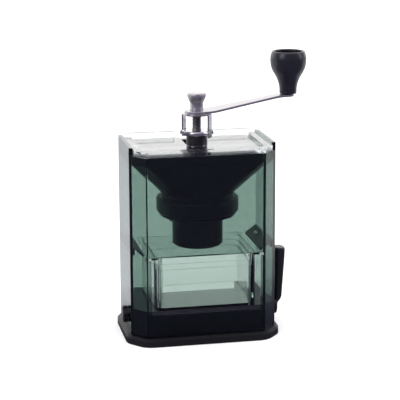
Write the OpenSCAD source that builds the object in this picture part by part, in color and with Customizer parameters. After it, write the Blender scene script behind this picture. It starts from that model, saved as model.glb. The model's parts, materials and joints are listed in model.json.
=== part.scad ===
// Hand crank coffee grinder: a clear box mill with conical ceramic burrs, a sliding
// lid, a clear drawer for the grounds and a suction base worked by a side lever.
// Millimetres, +Z up, front towards -Y. The origin is on the table, under the spindle.

/* [Body] */
// Width of the clear body, side face to side face
body_w = 126; // [120:1:140]
// Depth of the clear body, front face to back face
body_d = 80.6; // [78:0.2:90]
// Height of the front wall's top edge above the table
body_top = 162.9; // [158:0.1:172]
// Height that the two side walls rise above the front wall
rail_rise = 6.4; // [5.5:0.1:8]
// Wall thickness of the clear body
wall = 3.6; // [2.5:0.1:3.6]

/* [Base] */
// Thickness of the foot that the body stands on
foot_h = 7; // [6.5:0.5:9]
// How far the foot stands out beyond the body
foot_out = 4; // [3:0.5:6]
// Height of the plinth's top, under the drawer
plinth_top = 30; // [30:0.5:31]

/* [Drawer] */
// Width of the drawer's front panel
drawer_w = 94.6; // [90:0.2:96]
// Height of the drawer's rim above the table
drawer_top = 77; // [70:0.5:77]
// Depth of the drawer, front face to back face
drawer_d = 73.3; // [66:0.1:75]

/* [Lid] */
// Height of the lid's raised border above its flat panel
lid_border_h = 2.4; // [1.5:0.1:3]
// Width of the lid's raised border
lid_border_w = 7; // [4:0.5:9]

/* [Crank] */
// Distance from the spindle's axis to the knob's axis
crank_reach = 86; // [80:1:110]
// Direction that the crank is parked in, measured from +X towards +Y
crank_angle = 10.75; // [0:0.25:30]
// Height that the arm climbs from the spindle to the knob
crank_rise = 8.7; // [4:0.1:14]
// Thickness of the arm's steel strip
arm_t = 2; // [1.5:0.1:3]

/* [Suction lock] */
// Eccentricity of the cam, which is the lift of the suction pad
cam_throw = 1.4; // [1:0.1:1.4]
// Height of the lever above its axle
lever_h = 52.5; // [40:0.5:60]

/* [Hidden] */

$fn = 64;
eps = 0.01;

// Gap between a moving piece and its neighbour
clear = 0.3;
// Gap between a screw or pin and the hole it fills
snug = 0.03;

// Outline of the body, seen from above, anticlockwise from the front left
front_flat = body_w / 2 - 11.9;
back_flat = body_w / 2 - 13;
side_front = 14.3 - body_d / 2;
side_back = body_d / 2 - 6;
OUTLINE = [[-front_flat, -body_d / 2], [front_flat, -body_d / 2],
    [body_w / 2, side_front], [body_w / 2, side_back],
    [back_flat, body_d / 2], [-back_flat, body_d / 2],
    [-body_w / 2, side_back], [-body_w / 2, side_front]];

// Heights, from the bottom up
drawer_sill = 27.2;
drawer_under = plinth_top + 0.2;
drawer_floor = 32.6;
chute_bottom = 78;
lip_bottom = 104.4;
case_bottom = 108.1;
case_top = 120.5;
funnel_bottom = 124;
band_bottom = 155;
lid_bottom = body_top + clear;
panel_top = 165.3;
back_lip_top = 170;
rail_top = body_top + rail_rise;
collar_top = 173.5;
grind_nut_bottom = 174.1;
grind_nut_top = 177.6;
arm_top = 194.5;
stopper_top = arm_top - arm_t - snug;
cap_top = 209.8;
knob_base = arm_top + crank_rise + clear;
knob_top = 240.8;

// Spindle and its bearings
spindle_r = 4;
running = 0.05;
collar_r = 9;
slot_r = collar_r + clear;

// Direction of the stopper's legs, measured as the crank's direction is
stopper_angle = -38;

// Burr case, lip and chute
case_r = 35.4;
lip_r = 32.9;
chute_r = 21.8;
chute_bore = 19.4;
burr_r = 24.4;

// Where the case screws stand
case_screw_r = 28.5;
case_screw_angles = [90, 210, 330];

// Suction lock
axle_y = -7;
axle_z = 20;
axle_r = 3.5;
cam_r = axle_r + cam_throw + 0.9;
window_gap = 0.4;
window_h = 2 * (cam_r + window_gap);
window_w = 2 * (cam_r + cam_throw + window_gap);
frame_t = 1.8;
recess_r = 33.5;
recess_top = 5;
pad_r = 31;

// Guides beside the drawer: lower edge, wall face, slope and length
guide_x = drawer_w / 2 + 2.6;
guide_wall = body_w / 2 - wall - snug;
guide_low = drawer_top - 1.8;
guide_top = 84;
guide_t = 1.8;
guide_slope = atan((guide_top - guide_low - guide_t) / (guide_wall - guide_x));
guide_front = side_front + 2;
guide_back = side_back - 3;

// Foot screws
foot_screw_x = 46;
foot_screw_ys = [-26, 28];

// Line parallel to the edge from p to q, d outside it, as [normal, distance]
function edge_line(p, q, d) =
    let (t = q - p, n = [t.y, -t.x] / norm(t)) [n, n * p + d];

// Point where two such lines cross
function crossing(a, b) =
    let (det = a[0].x * b[0].y - a[0].y * b[0].x)
    [(a[1] * b[0].y - b[1] * a[0].y) / det, (a[0].x * b[1] - b[0].x * a[1]) / det];

// Convex outline moved outwards by d, or inwards when d is negative
function grown(pts, d) =
    let (n = len(pts))
    [for (i = [0:n - 1])
        crossing(edge_line(pts[(i + n - 1) % n], pts[i], d),
            edge_line(pts[i], pts[(i + 1) % n], d))];

// Convex outline with each corner rounded to radius r
function rounded(pts, r, steps = 8) =
    let (n = len(pts))
    [for (i = [0:n - 1])
        let (a = edge_line(pts[(i + n - 1) % n], pts[i], -r),
            b = edge_line(pts[i], pts[(i + 1) % n], -r),
            c = crossing(a, b),
            from = atan2(a[0].y, a[0].x),
            turn = (atan2(b[0].y, b[0].x) - from + 720) % 360)
        for (k = [0:steps])
            c + r * [cos(from + turn * k / steps), sin(from + turn * k / steps)]];

// Rectangle centred on x = 0
function box_outline(w, y0, y1) = [[-w / 2, y0], [w / 2, y0], [w / 2, y1], [-w / 2, y1]];

// Points of an arc in a turned profile
function arc(cx, cy, r, from, to, steps = 8) =
    [for (k = [0:steps])
        let (a = from + (to - from) * k / steps) [cx + r * cos(a), cy + r * sin(a)]];

// Points of a cubic curve through p and s, aimed at q and r
function curve(p, q, r, s, steps = 14) =
    [for (k = [0:steps])
        let (t = k / steps, u = 1 - t)
        u * u * u * p + 3 * u * u * t * q + 3 * u * t * t * r + t * t * t * s];

// Upright prism on an outline, from height z0 to z1
module prism(pts, z0, z1) {
    translate([0, 0, z0]) linear_extrude(z1 - z0) polygon(pts);
}

// Upright cylinder from height z0 to z1
module post(r, z0, z1) {
    translate([0, 0, z0]) cylinder(r = r, h = z1 - z0);
}

// Cylinder along X from x0 to x1, on the lock's axle line
module axle_bar(r, x0, x1) {
    translate([x0, axle_y, axle_z]) rotate([0, 90, 0]) cylinder(r = r, h = x1 - x0);
}

// Turned piece from its half profile, as [radius, height] points
module turned(pts) {
    rotate_extrude($fn = 96) polygon(pts);
}

// Children placed at the crank's far end
module at_knob() {
    rotate([0, 0, crank_angle]) translate([crank_reach, 0, 0]) children();
}

// Children placed at each foot screw
module at_foot_screws() {
    for (x = [-foot_screw_x, foot_screw_x], y = foot_screw_ys)
        translate([x, y, 0]) children();
}

// Children placed at each case screw
module at_case_screws() {
    for (a = case_screw_angles)
        rotate([0, 0, a]) translate([case_screw_r, 0, 0]) children();
}

// Foot: the wide rounded flange, with a round recess below for the suction pad
module foot() {
    corner = 15;
    edge = 1.2;
    color([0.07, 0.07, 0.09]) difference() {
        union() {
            prism(rounded(grown(OUTLINE, foot_out), corner), 0, foot_h - edge);
            prism(rounded(grown(OUTLINE, foot_out - edge), corner - edge), foot_h - edge - eps, foot_h);
        }
        translate([0, axle_y, 0]) {
            post(recess_r, -1, recess_top);
            post(8.5, -1, foot_h + 1);
        }
        at_foot_screws() {
            post(1.6, -1, foot_h + 1);
            post(3.2, -1, 2.6);
        }
    }
}

// Plinth: the hollow black block inside the shell, which carries the axle
module plinth() {
    skin = 2.5;
    roof = 1.6;
    half_w = body_w / 2 - wall - snug;
    // The back half of the roof is sunk between the two ledges that the drawer runs on
    sunk_top = 22;
    sunk_y = 5;
    sunk_half = 41;
    color([0.07, 0.07, 0.09]) difference() {
        union() {
            difference() {
                prism(grown(OUTLINE, -wall - snug), foot_h, plinth_top);
                difference() {
                    prism(grown(OUTLINE, -wall - skin), foot_h - 1, plinth_top - roof);
                    translate([-sunk_half - roof, sunk_y - roof, sunk_top - roof])
                        cube([2 * (sunk_half + roof), body_d, plinth_top]);
                }
                translate([-sunk_half, sunk_y, sunk_top]) cube([2 * sunk_half, body_d, plinth_top]);
            }
            at_foot_screws() post(4, foot_h, plinth_top - roof + eps);
            axle_bar(7, half_w - 8, half_w);
            axle_bar(7, -half_w, 8 - half_w);
        }
        // Rebate that the drawer's front panel hangs into
        translate([-drawer_w / 2 - clear, -body_d / 2 - 1, drawer_sill - clear])
            cube([drawer_w + 2 * clear, wall + 2, plinth_top]);
        axle_bar(axle_r + running, -half_w - 1, half_w + 1);
        at_foot_screws() post(1.3, foot_h - 1, 18.5);
    }
}

// Four screws that hold the foot to the plinth
module foot_screws() {
    color([0.6, 0.61, 0.63]) at_foot_screws() {
        post(2.9, 0.8, 2.6);
        post(1.3 - snug, 2.6 - eps, 18);
    }
}

// Clear smoked shell: four walls with chamfered corners, open at the top and bottom
module body_shell() {
    ear_h = 2.4;
    color([0.35, 0.45, 0.42, 0.5]) difference() {
        union() {
            prism(OUTLINE, foot_h, body_top);
            // Side walls run on upwards as rails beside the lid
            for (side = [-1, 1])
                translate([side > 0 ? body_w / 2 - wall : -body_w / 2, side_front, body_top - 1])
                    cube([wall, side_back - side_front, rail_rise + 1]);
        }
        prism(grown(OUTLINE, -wall), foot_h - 1, rail_top + 1);
        // Opening for the drawer, with a notch at each top corner for its ears
        translate([-drawer_w / 2 - clear, -body_d / 2 - 1, drawer_sill - clear])
            cube([drawer_w + 2 * clear, wall + 2, drawer_top - drawer_sill + 2 * clear]);
        translate([-drawer_w / 2 - 2.3 - clear, -body_d / 2 - 1, drawer_top - ear_h - clear])
            cube([drawer_w + 4.6 + 2 * clear, wall + 2, ear_h + 2 * clear]);
        // Holes for the lock's axle
        axle_bar(axle_r + 0.4, -body_w, body_w);
    }
}

// Hopper: a funnel from the shell's outline down to the round throat
module hopper() {
    skin = 2.2;
    throat_r = 30.9;
    band = grown(OUTLINE, -wall - snug);
    band_in = grown(OUTLINE, -wall - skin);
    slab = 0.05;
    color([0.06, 0.06, 0.08]) difference() {
        union() {
            prism(band, band_bottom, body_top - 0.2);
            hull() {
                prism(band, band_bottom, band_bottom + slab);
                post(throat_r, funnel_bottom, funnel_bottom + slab);
            }
            post(throat_r, case_top, funnel_bottom + slab);
        }
        difference() {
            union() {
                prism(band_in, band_bottom, body_top + 1);
                hull() {
                    prism(band_in, band_bottom, band_bottom + slab);
                    post(throat_r - skin, funnel_bottom, funnel_bottom + slab);
                }
            }
            // Ledges that the bearing bridge is screwed to
            for (side = [-1, 1])
                translate([side * 54.5 - 4, -6, band_bottom - 2]) cube([8, 12, 3]);
        }
        post(22.5, case_top - 1, funnel_bottom + 1);
        at_case_screws() post(1.6, case_top - 1, funnel_bottom - 0.5);
        for (side = [-1, 1]) translate([side * 53, 0, 0]) post(1.35, band_bottom - 1.5, body_top);
    }
}

// Bridge across the hopper, with the collar that guides the spindle
module bearing_bridge() {
    arm_end = body_w / 2 - wall - 2.2 - 0.3;
    color([0.06, 0.06, 0.08]) difference() {
        union() {
            post(collar_r, 142, collar_top);
            translate([-arm_end, -5, band_bottom + 1]) cube([2 * arm_end, 10, 5]);
        }
        post(6, 150, collar_top + 1);
        post(spindle_r + 0.6, 141, 151);
        for (side = [-1, 1]) translate([side * 53, 0, 0]) post(1.6, band_bottom, body_top);
    }
}

// Two screws that hold the bridge in the hopper
module bridge_screws() {
    color([0.6, 0.61, 0.63]) for (side = [-1, 1])
        translate([side * 53, 0, 0]) {
            post(2.8, band_bottom + 6, band_bottom + 7.4);
            post(1.35 - snug, band_bottom - 1.4, band_bottom + 6 + eps);
        }
}

// Bearing sleeve with its bore on the spindle
module bush(r, z0, z1) {
    color([0.72, 0.56, 0.28]) difference() {
        post(r, z0, z1);
        post(spindle_r + running, z0 - 1, z1 + 1);
    }
}

// Sleeve in the collar
module upper_bush() {
    bush(6, 151, collar_top + 0.2);
}

// Sleeve in the chute's spider
module lower_bush() {
    bush(5.5, 93.5, 102.3);
}

// Round black case that holds the fixed burr under the hopper
module burr_case() {
    top_round = 2;
    color([0.06, 0.06, 0.08]) difference() {
        turned(concat([[20.4, case_bottom], [case_r - 0.6, case_bottom], [case_r, case_bottom + 0.6]],
            arc(case_r - top_round, case_top - top_round, top_round, 0, 90),
            [[burr_r, case_top], [burr_r, case_bottom + 0.2], [20.4, case_bottom + 0.2]]));
        at_case_screws() post(1.6, case_bottom - 1, case_top + 1);
    }
}

// Fixed ceramic burr, with cutting grooves down its inner cone
module outer_burr() {
    waist = [16, 114.5];
    mouth = [18.9, case_bottom + 0.2];
    teeth = 12;
    color([0.93, 0.92, 0.88]) difference() {
        turned([mouth, [burr_r, mouth.y], [burr_r, case_top - 0.2], [21.5, case_top - 0.2], waist]);
        for (k = [0:teeth - 1]) rotate([0, 0, k * 360 / teeth]) {
            translate([waist.x, -0.8, waist.y - 1]) rotate([0, 45, 0]) cube([1.6, 1.6, 12], center = false);
        }
    }
}

// Chute: the lip under the case, the tube below it and a spider for the lower bearing
module chute() {
    edge = 1.6;
    color([0.06, 0.06, 0.08]) {
        difference() {
            turned([[chute_bore, chute_bottom], [chute_r - edge, chute_bottom],
                [chute_r, chute_bottom + edge], [chute_r, lip_bottom], [lip_r - 0.8, lip_bottom],
                [lip_r, lip_bottom + 0.8], [lip_r, case_bottom], [chute_bore, case_bottom]]);
            at_case_screws() post(1.6, lip_bottom - 1, case_bottom + 1);
        }
        difference() {
            union() {
                post(7.5, 94, 102);
                for (a = [30, 150, 270]) rotate([0, 0, a])
                    translate([6, -2, 96]) cube([chute_bore - 6 + 0.5, 4, 5]);
            }
            post(5.5, 93, 103);
        }
    }
}

// Three screws up through the lip and the case into the hopper
module case_screws() {
    color([0.6, 0.61, 0.63]) at_case_screws() {
        post(2.8, lip_bottom - 1.6, lip_bottom);
        post(1.6 - snug, lip_bottom - eps, funnel_bottom - 1);
    }
}

// Children placed square to a guide's slope, at each of its screws
module at_guide_screws() {
    for (y = [10, 14.5])
        translate([55, y, guide_low + guide_t + (55 - guide_x) * tan(guide_slope)])
            rotate([0, -guide_slope, 0]) children();
}

// Sloped black guide from a side wall down to the drawer's rim
module deflector(side) {
    flank = 7;
    mirror([side < 0 ? 1 : 0, 0, 0]) color([0.07, 0.07, 0.09]) difference() {
        union() {
            translate([0, guide_back, 0]) rotate([90, 0, 0]) linear_extrude(guide_back - guide_front)
                polygon([[guide_x, guide_low], [guide_x + 1.2, guide_low],
                    [guide_wall - guide_t, guide_top - guide_t], [guide_wall - guide_t, guide_top - flank],
                    [guide_wall, guide_top - flank], [guide_wall, guide_top],
                    [guide_x, guide_low + guide_t]]);
            at_guide_screws() post(1.9, -4.6, -0.6);
        }
        at_guide_screws() post(0.8, -6, 1);
    }
}

// Left guide
module deflector_left() {
    deflector(-1);
}

// Right guide
module deflector_right() {
    deflector(1);
}

// Small bright screws on the slope of each guide
module deflector_screws() {
    color([0.7, 0.71, 0.73]) for (side = [0, 1]) mirror([side, 0, 0]) at_guide_screws() {
        post(1.5, snug, 0.9);
        post(0.8 - snug, -4.5, snug + eps);
    }
}

// Threaded spindle that the crank turns
module spindle() {
    thread_z = 179;
    pitch = 1.25;
    turns = 9;
    root = spindle_r - 0.45;
    thread = [for (k = [0:turns - 1]) let (z = thread_z + k * pitch)
        each [[spindle_r, z], [root, z + pitch / 2]]];
    color([0.45, 0.44, 0.47]) turned(concat([[0, 89], [spindle_r - 0.6, 89], [spindle_r, 89.6],
        [spindle_r, 90.4], [spindle_r - 0.6, 90.4], [spindle_r - 0.6, 91.4], [spindle_r, 91.4],
        [spindle_r, 103], [6, 103], [6, 104], [spindle_r, 104]],
        thread, [[spindle_r, thread_z + turns * pitch], [spindle_r, 204.4], [spindle_r - 0.6, 205],
        [0, 205]]));
}

// Spring clip in the groove at the spindle's lower end
module spindle_clip() {
    color([0.5, 0.5, 0.52]) difference() {
        post(6, 90.4 + snug, 91.4 - snug);
        post(spindle_r - 0.6 + snug, 90, 92);
        translate([0, -1.2, 90]) cube([8, 2.4, 2]);
    }
}

// Turning ceramic burr, a cone with cutting grooves
module inner_burr() {
    teeth = 10;
    color([0.93, 0.92, 0.88]) difference() {
        turned([[spindle_r + snug, 104 + snug], [18.4, 104 + snug], [18.4, 108],
            [15.5, 114.2], [9, 120.5], [9, 122.5], [spindle_r + snug, 122.5]]);
        for (k = [0:teeth - 1]) rotate([0, 0, k * 360 / teeth + 12])
            translate([17.6, -0.8, 104]) rotate([0, -24, 14]) cube([4, 1.6, 22]);
    }
}

// Coil spring that presses the turning burr down; one tube swept along a helix
module burr_spring() {
    coil_r = 6.2;
    wire_r = 0.6;
    low = 123.2;
    high = 139.8;
    turns = 5;
    per_turn = 20;
    sides = 8;
    rings = turns * per_turn;
    points = [for (k = [0:rings], j = [0:sides - 1])
        let (a = k * 360 / per_turn, b = j * 360 / sides, r = coil_r + wire_r * cos(b),
            z = low + (high - low) * k / rings + wire_r * sin(b))
        [r * cos(a), r * sin(a), z]];
    skins = [for (k = [0:rings - 1], j = [0:sides - 1])
        let (n = (j + 1) % sides)
        [k * sides + j, (k + 1) * sides + j, (k + 1) * sides + n, k * sides + n]];
    ends = [[for (j = [0:sides - 1]) j], [for (j = [sides - 1:-1:0]) rings * sides + j]];
    color([0.55, 0.55, 0.58]) polyhedron(points = points, faces = concat(skins, ends));
}

// Flat washer between the spring and the bridge
module spring_washer() {
    color([0.6, 0.61, 0.63]) difference() {
        post(7.5, 140.5, 141.6);
        post(spindle_r + snug, 140, 142);
    }
}

// Grind adjusting nut: a steel star with pointed lobes and flat notches
module grind_nut() {
    lobes = 8;
    tip_r = 14.6;
    notch_r = 11.2;
    half_lobe = 8;
    bevel = 1;
    star = [for (k = [0:lobes - 1]) let (a = k * 360 / lobes)
        each [notch_r * [cos(a - half_lobe), sin(a - half_lobe)], tip_r * [cos(a), sin(a)],
            notch_r * [cos(a + half_lobe), sin(a + half_lobe)]]];
    color([0.75, 0.75, 0.77]) difference() {
        rotate([0, 0, stopper_angle + 180 / lobes]) prism(star, grind_nut_bottom, grind_nut_top);
        post(spindle_r + snug, grind_nut_bottom - 1, grind_nut_top + 1);
        // Bevelled rim
        difference() {
            post(tip_r + 2, grind_nut_top - bevel, grind_nut_top + 1);
            translate([0, 0, grind_nut_top - bevel])
                cylinder(r1 = tip_r + 0.4, r2 = tip_r - 3.2, h = 2 * bevel);
        }
    }
}

// Stopper: a steel yoke keyed to the spindle, whose two legs lock the grind nut
module stopper() {
    plate_t = 1.5;
    plate_r = 12.6;
    leg_w = 6;
    leg_t = 1.4;
    leg_end = 171.6;
    color([0.8, 0.8, 0.82]) difference() {
        union() {
            post(plate_r, stopper_top - plate_t, stopper_top);
            for (turn = [0, 180]) rotate([0, 0, stopper_angle + turn])
                translate([plate_r - leg_t + 0.5, -leg_w / 2, leg_end])
                    cube([leg_t, leg_w, stopper_top - leg_end]);
        }
        post(spindle_r + snug, 170, stopper_top + 1);
    }
}

// Half width of the arm at distance u from the spindle
function arm_half(u) = 5.3 + 4.9 * pow(1 - u / crank_reach, 1.6);

// Crank arm: one steel strip, broad at the spindle, cranked up to the knob
module crank_arm() {
    hub_r = 10.2;
    end_r = 5.3;
    first = 6;
    steps = 12;
    bend_a = 13;
    bend_b = 76;
    side_pts = [for (k = [0:steps]) let (u = first + (crank_reach - first) * k / steps)
        [u, -arm_half(u)]];
    plan = concat(side_pts, arc(crank_reach, 0, end_r, -80, 80),
        [for (k = [steps:-1:0]) [side_pts[k].x, -side_pts[k].y]], arc(0, 0, hub_r, 62, 298, 24));
    edge = [[-20, 0], [bend_a, 0], [bend_b, crank_rise], [crank_reach + 20, crank_rise]];
    strip = concat([for (p = edge) p + [0, -arm_t]], [for (k = [3:-1:0]) edge[k]]);
    color([0.82, 0.8, 0.81]) rotate([0, 0, crank_angle]) difference() {
        intersection() {
            prism(plan, arm_top - 5, arm_top + crank_rise + 5);
            translate([0, 30, arm_top]) rotate([90, 0, 0]) linear_extrude(60) polygon(strip);
        }
        post(spindle_r + snug, arm_top - 5, arm_top + 5);
        translate([crank_reach, 0, 0]) post(2.5 + snug, arm_top, knob_base + 5);
    }
}

// Cap nut that clamps the arm, stopper and grind nut stack
module cap_nut() {
    color([0.7, 0.7, 0.72]) turned(concat([[spindle_r + snug, arm_top], [5.9, arm_top],
        [5.9, arm_top + 1.2], [5.6, arm_top + 2], [5.6, arm_top + 5.6]],
        curve([5.6, 200.2], [5.7, 202], [7.2, 204], [7.8, 206], 6),
        [[8, 206.4], [8, cap_top - 0.5], [7.5, cap_top], [0, cap_top], [0, 205.2],
        [spindle_r + snug, 205.2]]));
}

// Pin that the knob turns on, riveted into the arm, with a head inside the knob's recess
module knob_pin() {
    foot_z = knob_base - clear - arm_t;
    color([0.7, 0.7, 0.72]) at_knob() turned([[0, foot_z], [2.5, foot_z], [2.5, 226.4], [4.6, 226.4],
        [4.6, 228], [3.8, 228.8], [0, 228.8]]);
}

// Knob: a goblet shape, hollow at the top
module knob() {
    rim_r = 14.1;
    neck_r = 7.7;
    belly_r = 15.7;
    belly_z = 233.4;
    color([0.1, 0.09, 0.13]) at_knob() turned(concat(
        [[2.5 + running, knob_base], [neck_r - 0.8, knob_base], [neck_r, knob_base + 0.8]],
        curve([neck_r, 207], [neck_r, 215.6], [13.4, 220.4], [15.2, 228], 16),
        arc(1.6, belly_z, belly_r - 1.6, -18, 0, 3),
        curve([belly_r, belly_z + 0.6], [belly_r, 237], [15.2, 239], [rim_r, knob_top], 6),
        [[rim_r - 1.6, knob_top], [rim_r - 2, knob_top - 1]],
        curve([rim_r - 1.8, knob_top - 2], [rim_r - 1.4, 232], [9, 226.2], [5.4, 226.2], 8),
        [[2.5 + running, 226.2]]));
}

// Lid outline: the body's outline cut off between the side rails
module lid_plan() {
    half_w = body_w / 2 - wall - clear;
    intersection() {
        polygon(OUTLINE);
        square([2 * half_w, 2 * body_d], center = true);
    }
}

// Clear lid: a flat panel with a raised border and a slot for the collar
module lid() {
    half_w = body_w / 2 - wall - clear;
    gap_half = 13.3;
    lip_w = 6;
    color([0.9, 0.92, 0.92, 0.4]) difference() {
        union() {
            translate([0, 0, lid_bottom]) linear_extrude(panel_top + lid_border_h - lid_bottom) lid_plan();
            translate([0, 0, panel_top]) linear_extrude(back_lip_top - panel_top) intersection() {
                lid_plan();
                translate([-half_w, body_d / 2 - lip_w]) square([2 * half_w, lip_w]);
            }
        }
        // Sunk panel inside the border
        prism(rounded([[-half_w + lid_border_w, -body_d / 2 + lid_border_w + 3],
            [-front_flat + 5, -body_d / 2 + lid_border_w - 1.5],
            [front_flat - 5, -body_d / 2 + lid_border_w - 1.5],
            [half_w - lid_border_w, -body_d / 2 + lid_border_w + 3],
            [half_w - lid_border_w, body_d / 2 - lip_w],
            [-half_w + lid_border_w, body_d / 2 - lip_w]], 2.5), panel_top, panel_top + 8);
        // Slot, open to the back, and the wider gap between the two back lips
        post(slot_r, lid_bottom - 1, back_lip_top + 1);
        translate([-slot_r, 0, lid_bottom - 1]) cube([2 * slot_r, body_d, 12]);
        translate([-gap_half, body_d / 2 - lip_w - 1, panel_top]) cube([2 * gap_half, lip_w + 2, 8]);
    }
}

// Clear drawer: a wide front panel with a rounded tub behind it, whose walls thin in two steps
module drawer() {
    panel_t = 3.6;
    tub_w = 87.6;
    tub_t = 3.2;
    corner = 9;
    steps = [[drawer_floor, 0], [66, 1], [71, 1.9]];
    front = -body_d / 2;
    back = front + drawer_d;
    ear_w = 2.3;
    // Inside of the tub, made wider by w
    function tub_in(w) = rounded(box_outline(tub_w - 2 * tub_t + 2 * w, front + panel_t - 0.6 * w,
        back - tub_t + w), corner - tub_t + w);
    color([0.92, 0.95, 0.92, 0.35]) difference() {
        union() {
            translate([-drawer_w / 2, front, drawer_sill])
                cube([drawer_w, panel_t, drawer_top - drawer_sill]);
            translate([-drawer_w / 2 - ear_w, front, drawer_top - 2])
                cube([drawer_w + 2 * ear_w, panel_t, 2]);
            prism(rounded(box_outline(tub_w, front + 1, back), corner), drawer_under, drawer_top);
            translate([0, 0, drawer_top - 2]) linear_extrude(2)
                polygon(rounded(box_outline(drawer_w - 1, front + 1, back), 4));
        }
        for (step = steps) prism(tub_in(step[1]), step[0], drawer_top + 1);
    }
}

// Lever: a flattened black handle rising from its hub on the axle's right end
module lever() {
    hub_x = body_w / 2 + clear + 0.1;
    hub_t = 6.2;
    grip_in = hub_x + 3.2;
    grip_low = 7.5;
    grip_half = 7;
    round_top = 1.2;
    // Seen from the front: out from the hub, then up, growing thicker to the top
    front = [[hub_x + 1, -6.5], [hub_x + hub_t, -6.5], [hub_x + hub_t, 3], [grip_in + 6.9, grip_low],
        [grip_in + 9.7, lever_h - round_top], [grip_in + 9.7 - round_top, lever_h],
        [grip_in + round_top, lever_h], [grip_in, lever_h - round_top], [grip_in, grip_low],
        [hub_x + 1, 2]];
    // Seen from the side: round at the hub, a little wider at the top
    side = concat(arc(0, 0, 6.5, 180, 360, 16), [[6.3, grip_low], [grip_half, lever_h - round_top],
        [grip_half - round_top, lever_h], [round_top - grip_half, lever_h],
        [-grip_half, lever_h - round_top], [-6.3, grip_low]]);
    color([0.06, 0.06, 0.08]) difference() {
        union() {
            axle_bar(8, hub_x, hub_x + hub_t - 1);
            translate([0, axle_y, axle_z]) intersection() {
                translate([0, 10, 0]) rotate([90, 0, 0]) linear_extrude(20) polygon(front);
                translate([hub_x, 0, 0]) rotate([90, 0, 90]) linear_extrude(20) polygon(side);
            }
        }
        axle_bar(axle_r + snug, hub_x - 1, hub_x + 4.4);
        translate([hub_x + 2.4, axle_y, 0]) post(1.2, 10, axle_z + 5.5);
    }
}

// Cross pin that fixes the lever to the axle
module lever_pin() {
    color([0.6, 0.61, 0.63]) translate([body_w / 2 + clear + 2.5, axle_y, 0])
        post(1.2 - snug, 12.4, axle_z + 5.4);
}

// Steel axle across the base, under the drawer
module cam_axle() {
    right_end = body_w / 2 + 4.6;
    left_end = -body_w / 2 - 3.6;
    color([0.6, 0.61, 0.63]) difference() {
        axle_bar(axle_r, left_end, right_end);
        translate([body_w / 2 + clear + 2.5, axle_y, 0]) post(1.2, 0, 40);
    }
}

// Eccentric cam in the middle of the axle
module cam() {
    color([0.85, 0.84, 0.8]) difference() {
        translate([0, 0, -cam_throw]) axle_bar(cam_r, -4, 4);
        axle_bar(axle_r + snug, -5, 5);
    }
}

// Ribbed black cap on the axle's left end
module axle_cap() {
    cap_r = 7.2;
    lugs = 6;
    outer_x = -body_w / 2 - 4.7;
    inner_x = -body_w / 2 - clear - 0.1;
    color([0.06, 0.06, 0.08]) difference() {
        union() {
            axle_bar(5.6, outer_x, inner_x);
            translate([0, axle_y, axle_z]) for (k = [0:lugs / 2 - 1])
                rotate([k * 360 / lugs, 0, 0]) translate([outer_x + 0.6, -1.7, -cap_r])
                    cube([inner_x - outer_x - 0.6, 3.4, 2 * cap_r]);
        }
        axle_bar(axle_r + snug, -body_w / 2 - 3.7, inner_x + 1);
    }
}

// Stem: a frame round the cam, with a rod down to the suction pad
module suction_stem() {
    mid_z = axle_z - cam_throw;
    color([0.8, 0.8, 0.78]) {
        difference() {
            translate([-3.5, axle_y - window_w / 2 - frame_t, mid_z - window_h / 2 - frame_t])
                cube([7, window_w + 2 * frame_t, window_h + 2 * frame_t]);
            translate([-5, axle_y - window_w / 2, mid_z - window_h / 2]) cube([10, window_w, window_h]);
        }
        translate([0, axle_y, 0]) post(3.4, 2, mid_z - window_h / 2 - frame_t + eps);
    }
}

// Round rubber suction pad under the foot
module suction_pad() {
    color([0.12, 0.12, 0.12]) translate([0, axle_y, 0]) difference() {
        turned([[0, 0], [pad_r, 0], [pad_r, 0.8], [pad_r - 2, 3.2], [7, 3.2], [7, 5.8], [0, 5.8]]);
        post(3.4 + snug, 2 - snug, 10);
    }
}

foot();
plinth();
foot_screws();
body_shell();
hopper();
bearing_bridge();
bridge_screws();
upper_bush();
burr_case();
outer_burr();
chute();
case_screws();
lower_bush();
deflector_left();
deflector_right();
deflector_screws();
spindle();
spindle_clip();
inner_burr();
burr_spring();
spring_washer();
grind_nut();
stopper();
crank_arm();
cap_nut();
knob_pin();
knob();
lid();
drawer();
lever();
lever_pin();
cam_axle();
cam();
axle_cap();
suction_stem();
suction_pad();
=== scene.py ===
"""Finishes a box-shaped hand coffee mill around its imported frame, and sets it in a white studio."""

import json
import math

import bmesh
import bpy
from bpy.props import FloatProperty, FloatVectorProperty, IntProperty, PointerProperty
from mathutils import Matrix, Vector


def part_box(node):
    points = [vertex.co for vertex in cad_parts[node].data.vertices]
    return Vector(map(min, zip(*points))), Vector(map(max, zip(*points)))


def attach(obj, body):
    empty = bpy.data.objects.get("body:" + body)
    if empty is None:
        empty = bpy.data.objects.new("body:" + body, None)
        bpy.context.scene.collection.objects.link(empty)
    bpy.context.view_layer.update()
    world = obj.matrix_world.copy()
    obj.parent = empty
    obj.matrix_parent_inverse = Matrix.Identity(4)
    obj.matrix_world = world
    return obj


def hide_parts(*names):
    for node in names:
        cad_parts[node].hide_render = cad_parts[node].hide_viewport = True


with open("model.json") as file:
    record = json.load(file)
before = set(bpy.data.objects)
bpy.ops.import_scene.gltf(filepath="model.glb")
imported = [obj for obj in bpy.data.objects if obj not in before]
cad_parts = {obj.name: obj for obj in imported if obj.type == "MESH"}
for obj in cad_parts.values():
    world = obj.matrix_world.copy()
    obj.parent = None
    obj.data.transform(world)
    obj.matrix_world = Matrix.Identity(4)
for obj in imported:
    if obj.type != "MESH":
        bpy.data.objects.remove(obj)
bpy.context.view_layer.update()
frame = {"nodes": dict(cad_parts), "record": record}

bl_info = {
    "name": "Hand Coffee Mill",
    "version": (1, 0, 0),
    "blender": (4, 5, 0),
    "location": "View3D > Sidebar > Coffee Mill",
    "description": "Makes the pieces of a hand coffee mill, their materials and a studio",
    "category": "Object",
}

MM = 0.001
WHOLE_TURN = 2 * math.pi
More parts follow.
